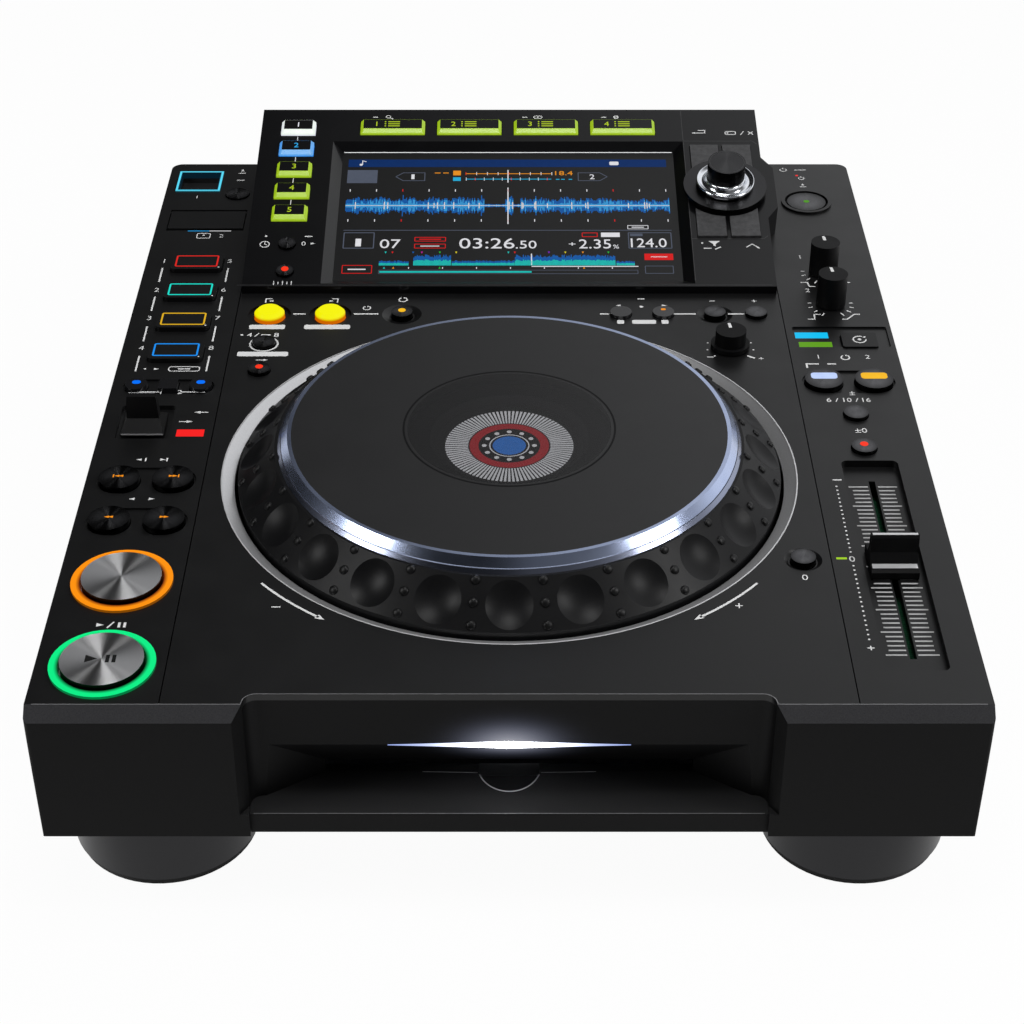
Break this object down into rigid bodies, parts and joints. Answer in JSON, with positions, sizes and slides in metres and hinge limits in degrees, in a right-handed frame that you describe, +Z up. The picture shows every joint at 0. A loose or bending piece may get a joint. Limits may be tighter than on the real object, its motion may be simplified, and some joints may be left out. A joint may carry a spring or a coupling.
{
  "type": "tabletop dj cd player",
  "caption": "Tabletop disc player for DJs with a big jog dial, tilted screen, slot-loading mouth, tempo slider and rows of lit buttons and knobs.",
  "frame": {"origin": "on the table under the middle of the footprint, with the feet's undersides at Z 0", "axes": "+Z up, +Y from the user towards the rear panel, +X to the user's right"},
  "size_m": [0.32, 0.414, 0.1226],
  "materials": {
    "case_steel": "fine-textured black powder coat",
    "cover_plastic": "fine-textured charcoal",
    "panel_plastic": "fine-textured black",
    "bezel_plastic": "satin dark grey",
    "gloss_housing": "polished black",
    "screen": "glossy screen cover",
    "light_guide": "translucent, lit from below",
    "foot_metal": "dark turned finish",
    "trim_silver": "satin silver",
    "bearing_plastic": "natural acetal",
    "drive_steel": "zinc-plated sheet",
    "board_green": "solder resist",
    "socket_black": "moulded black",
    "dial_black": "satin black",
    "rim_chrome": "polished, faintly blue",
    "platter_metal": "black anodised, fine turned lines",
    "window_clear": "smoked clear disc",
    "key_black": "glossy black",
    "key_yellow": "translucent yellow",
    "key_grey": "speckled grey",
    "button_metal": "spun aluminium",
    "knob_black": "soft black"
  },
  "bodies": {
    "case": {"lower_case": "case_steel", "rear_panel": "case_steel", "side_cover_left": "cover_plastic", "side_cover_right": "cover_plastic", "centre_panel": "panel_plastic", "front_bezel": "bezel_plastic", "feet": "foot_metal", "display_housing": "gloss_housing", "display_glass": "screen", "light_guides": "light_guide", "jog_trim_ring": "trim_silver", "jog_bearing": "bearing_plastic", "jog_display": "socket_black", "disc_drive": "drive_steel", "circuit_boards": "board_green", "connector_sockets": "socket_black"},
    "jog": {"jog_dial": "dial_black", "jog_rim": "rim_chrome", "jog_platter": "platter_metal", "jog_window": "window_clear"},
    "usb_stop_button": {"usb_stop_button": "key_black"},
    "track_search_back_button": {"track_search_back_button": "key_black"},
    "track_search_forward_button": {"track_search_forward_button": "key_black"},
    "search_back_button": {"search_back_button": "key_black"},
    "search_forward_button": {"search_forward_button": "key_black"},
    "eject_button": {"eject_button": "key_black"},
    "sync_button": {"sync_button": "key_black"},
    "master_button": {"master_button": "key_black"},
    "tempo_range_button": {"tempo_range_button": "key_black"},
    "master_tempo_button": {"master_tempo_button": "key_black"},
    "reloop_button": {"reloop_button": "key_black"},
    "delete_button": {"delete_button": "key_black"},
    "memory_button": {"memory_button": "key_black"},
    "beat_loop_button": {"beat_loop_button": "key_black"},
    "slip_button": {"slip_button": "key_black"},
    "tempo_reset_button": {"tempo_reset_button": "key_black"},
    "loop_in_button": {"loop_in_button": "key_yellow"},
    "loop_out_button": {"loop_out_button": "key_yellow"},
    "cue_button": {"cue_button": "button_metal"},
    "play_button": {"play_button": "button_metal"},
    "hot_cue_button_a": {"hot_cue_button_a": "key_black"},
    "hot_cue_button_b": {"hot_cue_button_b": "key_black"},
    "hot_cue_button_c": {"hot_cue_button_c": "key_black"},
    "hot_cue_button_d": {"hot_cue_button_d": "key_black"},
    "jog_mode_button": {"jog_mode_button": "key_black"},
    "bank_keys": {"bank_keys": "key_black"},
    "call_keys": {"call_keys": "key_black"},
    "time_mode_button": {"time_mode_button": "key_black"},
    "quantize_button": {"quantize_button": "key_black"},
    "source_keys": {"source_keys": "key_black"},
    "browse_keys": {"browse_keys": "key_black"},
    "selector_keys": {"selector_keys": "key_grey"},
    "touch_speed_knob": {"touch_speed_knob": "knob_black"},
    "release_speed_knob": {"release_speed_knob": "knob_black"},
    "jog_adjust_knob": {"jog_adjust_knob": "knob_black"},
    "selector_knob": {"selector_knob": "knob_black"},
    "tempo_fader": {"tempo_fader": "knob_black"},
    "direction_lever": {"direction_lever": "knob_black"},
    "sd_door": {"sd_door": "cover_plastic"},
    "power_switch": {"power_switch": "socket_black"}
  },
  "joints": [
    {"name": "jog_spin", "type": "hinge", "parent": "case", "child": "jog", "pos_m": [0, -0.06105, 0.107], "axis": [0, 0, 1], "continuous": true},
    {"name": "tempo_slide", "type": "slide", "parent": "case", "child": "tempo_fader", "axis": [0, 1, 0], "range_m": [-0.049, 0.049]},
    {"name": "direction_tilt", "type": "hinge", "parent": "case", "child": "direction_lever", "pos_m": [-0.1429, -0.0318, 0.059], "axis": [-1, 0, 0], "range_deg": [0, 8]},
    {"name": "sd_door_hinge", "type": "hinge", "parent": "case", "child": "sd_door", "pos_m": [-0.1376, 0.1494, 0.088], "axis": [-1, 0, 0], "range_deg": [0, 100]},
    {"name": "power_rock", "type": "hinge", "parent": "case", "child": "power_switch", "pos_m": [-0.084, 0.194, 0.0615], "axis": [-1, 0, 0], "range_deg": [0, 14]},
    {"name": "selector_turn", "type": "hinge", "parent": "case", "child": "selector_knob", "pos_m": [0.0968, 0.13776, 0.10525], "axis": [0, -0.1925, 0.9813], "continuous": true},
    {"name": "jog_adjust_turn", "type": "hinge", "parent": "case", "child": "jog_adjust_knob", "pos_m": [0.0913, 0.0275, 0.089], "axis": [0, 0, 1], "range_deg": [-150, 150]},
    {"name": "touch_speed_turn", "type": "hinge", "parent": "case", "child": "touch_speed_knob", "pos_m": [0.1371, 0.0914, 0.089], "axis": [0, 0, 1], "range_deg": [-150, 150]},
    {"name": "release_speed_turn", "type": "hinge", "parent": "case", "child": "release_speed_knob", "pos_m": [0.1371, 0.0633, 0.089], "axis": [0, 0, 1], "range_deg": [-150, 150]},
    {"name": "play_press", "type": "slide", "parent": "case", "child": "play_button", "axis": [0, 0, -1], "range_m": [0, 0.0008], "stiffness_N_per_m": 600, "springref_m": -0.0006},
    {"name": "cue_press", "type": "slide", "parent": "case", "child": "cue_button", "axis": [0, 0, -1], "range_m": [0, 0.0008], "stiffness_N_per_m": 600, "springref_m": -0.0006},
    {"name": "loop_in_press", "type": "slide", "parent": "case", "child": "loop_in_button", "axis": [0, 0, -1], "range_m": [0, 0.0008], "stiffness_N_per_m": 600, "springref_m": -0.0006},
    {"name": "hot_cue_a_press", "type": "slide", "parent": "case", "child": "hot_cue_button_a", "axis": [0, 0, -1], "range_m": [0, 0.0008], "stiffness_N_per_m": 600, "springref_m": -0.0006},
    {"name": "usb_stop_press", "type": "slide", "parent": "case", "child": "usb_stop_button", "axis": [0, 0, -1], "range_m": [0, 0.0008], "stiffness_N_per_m": 600, "springref_m": -0.0006},
    {"name": "track_search_back_press", "type": "slide", "parent": "case", "child": "track_search_back_button", "axis": [0, 0, -1], "range_m": [0, 0.0008], "stiffness_N_per_m": 600, "springref_m": -0.0006},
    {"name": "track_search_forward_press", "type": "slide", "parent": "case", "child": "track_search_forward_button", "axis": [0, 0, -1], "range_m": [0, 0.0008], "stiffness_N_per_m": 600, "springref_m": -0.0006},
    {"name": "search_back_press", "type": "slide", "parent": "case", "child": "search_back_button", "axis": [0, 0, -1], "range_m": [0, 0.0008], "stiffness_N_per_m": 600, "springref_m": -0.0006},
    {"name": "search_forward_press", "type": "slide", "parent": "case", "child": "search_forward_button", "axis": [0, 0, -1], "range_m": [0, 0.0008], "stiffness_N_per_m": 600, "springref_m": -0.0006},
    {"name": "eject_press", "type": "slide", "parent": "case", "child": "eject_button", "axis": [0, 0, -1], "range_m": [0, 0.0008], "stiffness_N_per_m": 600, "springref_m": -0.0006},
    {"name": "sync_press", "type": "slide", "parent": "case", "child": "sync_button", "axis": [0, 0, -1], "range_m": [0, 0.0008], "stiffness_N_per_m": 600, "springref_m": -0.0006},
    {"name": "master_press", "type": "slide", "parent": "case", "child": "master_button", "axis": [0, 0, -1], "range_m": [0, 0.0008], "stiffness_N_per_m": 600, "springref_m": -0.0006},
    {"name": "tempo_range_press", "type": "slide", "parent": "case", "child": "tempo_range_button", "axis": [0, 0, -1], "range_m": [0, 0.0008], "stiffness_N_per_m": 600, "springref_m": -0.0006},
    {"name": "master_tempo_press", "type": "slide", "parent": "case", "child": "master_tempo_button", "axis": [0, 0, -1], "range_m": [0, 0.0008], "stiffness_N_per_m": 600, "springref_m": -0.0006},
    {"name": "reloop_press", "type": "slide", "parent": "case", "child": "reloop_button", "axis": [0, 0, -1], "range_m": [0, 0.0008], "stiffness_N_per_m": 600, "springref_m": -0.0006},
    {"name": "delete_press", "type": "slide", "parent": "case", "child": "delete_button", "axis": [0, 0, -1], "range_m": [0, 0.0008], "stiffness_N_per_m": 600, "springref_m": -0.0006},
    {"name": "memory_press", "type": "slide", "parent": "case", "child": "memory_button", "axis": [0, 0, -1], "range_m": [0, 0.0008], "stiffness_N_per_m": 600, "springref_m": -0.0006},
    {"name": "beat_loop_press", "type": "slide", "parent": "case", "child": "beat_loop_button", "axis": [0, 0, -1], "range_m": [0, 0.0008], "stiffness_N_per_m": 600, "springref_m": -0.0006},
    {"name": "slip_press", "type": "slide", "parent": "case", "child": "slip_button", "axis": [0, 0, -1], "range_m": [0, 0.0008], "stiffness_N_per_m": 600, "springref_m": -0.0006},
    {"name": "tempo_reset_press", "type": "slide", "parent": "case", "child": "tempo_reset_button", "axis": [0, 0, -1], "range_m": [0, 0.0008], "stiffness_N_per_m": 600, "springref_m": -0.0006},
    {"name": "loop_out_press", "type": "slide", "parent": "case", "child": "loop_out_button", "axis": [0, 0, -1], "range_m": [0, 0.0008], "stiffness_N_per_m": 600, "springref_m": -0.0006},
    {"name": "hot_cue_b_press", "type": "slide", "parent": "case", "child": "hot_cue_button_b", "axis": [0, 0, -1], "range_m": [0, 0.0008], "stiffness_N_per_m": 600, "springref_m": -0.0006},
    {"name": "hot_cue_c_press", "type": "slide", "parent": "case", "child": "hot_cue_button_c", "axis": [0, 0, -1], "range_m": [0, 0.0008], "stiffness_N_per_m": 600, "springref_m": -0.0006},
    {"name": "hot_cue_d_press", "type": "slide", "parent": "case", "child": "hot_cue_button_d", "axis": [0, 0, -1], "range_m": [0, 0.0008], "stiffness_N_per_m": 600, "springref_m": -0.0006},
    {"name": "jog_mode_press", "type": "slide", "parent": "case", "child": "jog_mode_button", "axis": [0, 0, -1], "range_m": [0, 0.0008], "stiffness_N_per_m": 600, "springref_m": -0.0006},
    {"name": "bank_press", "type": "slide", "parent": "case", "child": "bank_keys", "axis": [0, 0, -1], "range_m": [0, 0.0008], "stiffness_N_per_m": 600, "springref_m": -0.0006},
    {"name": "call_press", "type": "slide", "parent": "case", "child": "call_keys", "axis": [0, 0, -1], "range_m": [0, 0.0008], "stiffness_N_per_m": 600, "springref_m": -0.0006},
    {"name": "time_mode_press", "type": "slide", "parent": "case", "child": "time_mode_button", "axis": [0, 0.1925, -0.9813], "range_m": [0, 0.0008], "stiffness_N_per_m": 600, "springref_m": -0.0006},
    {"name": "quantize_press", "type": "slide", "parent": "case", "child": "quantize_button", "axis": [0, 0.1925, -0.9813], "range_m": [0, 0.0008], "stiffness_N_per_m": 600, "springref_m": -0.0006},
    {"name": "source_press", "type": "slide", "parent": "case", "child": "source_keys", "axis": [0, 0.1925, -0.9813], "range_m": [0, 0.0008], "stiffness_N_per_m": 600, "springref_m": -0.0006},
    {"name": "browse_press", "type": "slide", "parent": "case", "child": "browse_keys", "axis": [0, 0.1925, -0.9813], "range_m": [0, 0.0008], "stiffness_N_per_m": 600, "springref_m": -0.0006},
    {"name": "selector_press", "type": "slide", "parent": "case", "child": "selector_keys", "axis": [0, 0.1925, -0.9813], "range_m": [0, 0.0008], "stiffness_N_per_m": 600, "springref_m": -0.0006}
  ]
}
